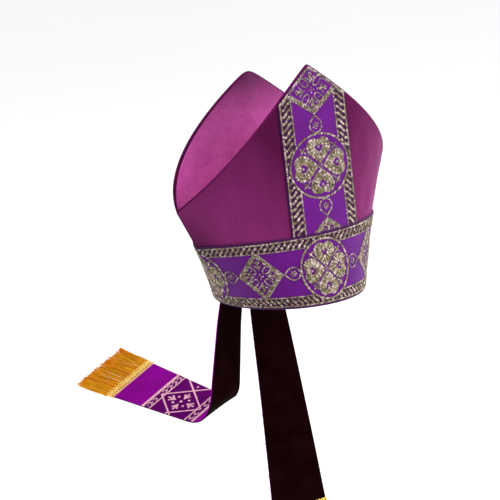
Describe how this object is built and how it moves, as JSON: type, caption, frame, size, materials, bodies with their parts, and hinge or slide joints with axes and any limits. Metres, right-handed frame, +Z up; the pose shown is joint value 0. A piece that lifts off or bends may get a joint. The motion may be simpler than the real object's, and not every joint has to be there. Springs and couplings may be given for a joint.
{
  "type": "bishop mitre",
  "caption": "Pointed ceremonial hat with two horned panels, a folding gusset, woven galloon band and orphreys, and fringed lappets hanging from the back of the rim.",
  "frame": {"origin": "middle of the head opening, level with the rim, where the mitre sits on the head", "axes": "+Z up, -Y the way the wearer faces, +X towards the wearer's left"},
  "size_m": [0.2888, 0.4206, 0.6596],
  "materials": {
    "satin": "plum satin, soft sheen",
    "galloon": "violet ground with woven gold thread",
    "gusset_lining": "orchid lining, slightly mottled",
    "lappet_face": "vivid purple silk with woven pink-gold figures",
    "lappet_lining": "dark wine lining, matt",
    "fringe": "amber-gold metal-thread fringe"
  },
  "bodies": {
    "root": {"front_panel": "satin", "back_panel": "satin", "crown_gusset": "gusset_lining", "head_band": "galloon", "front_orphrey": "galloon", "back_orphrey": "galloon", "right_lappet_face": "lappet_face", "right_lappet_lining": "lappet_lining", "right_fringe": "fringe", "left_lappet_face": "lappet_face", "left_lappet_lining": "lappet_lining", "left_fringe": "fringe"}
  },
  "joints": []
}
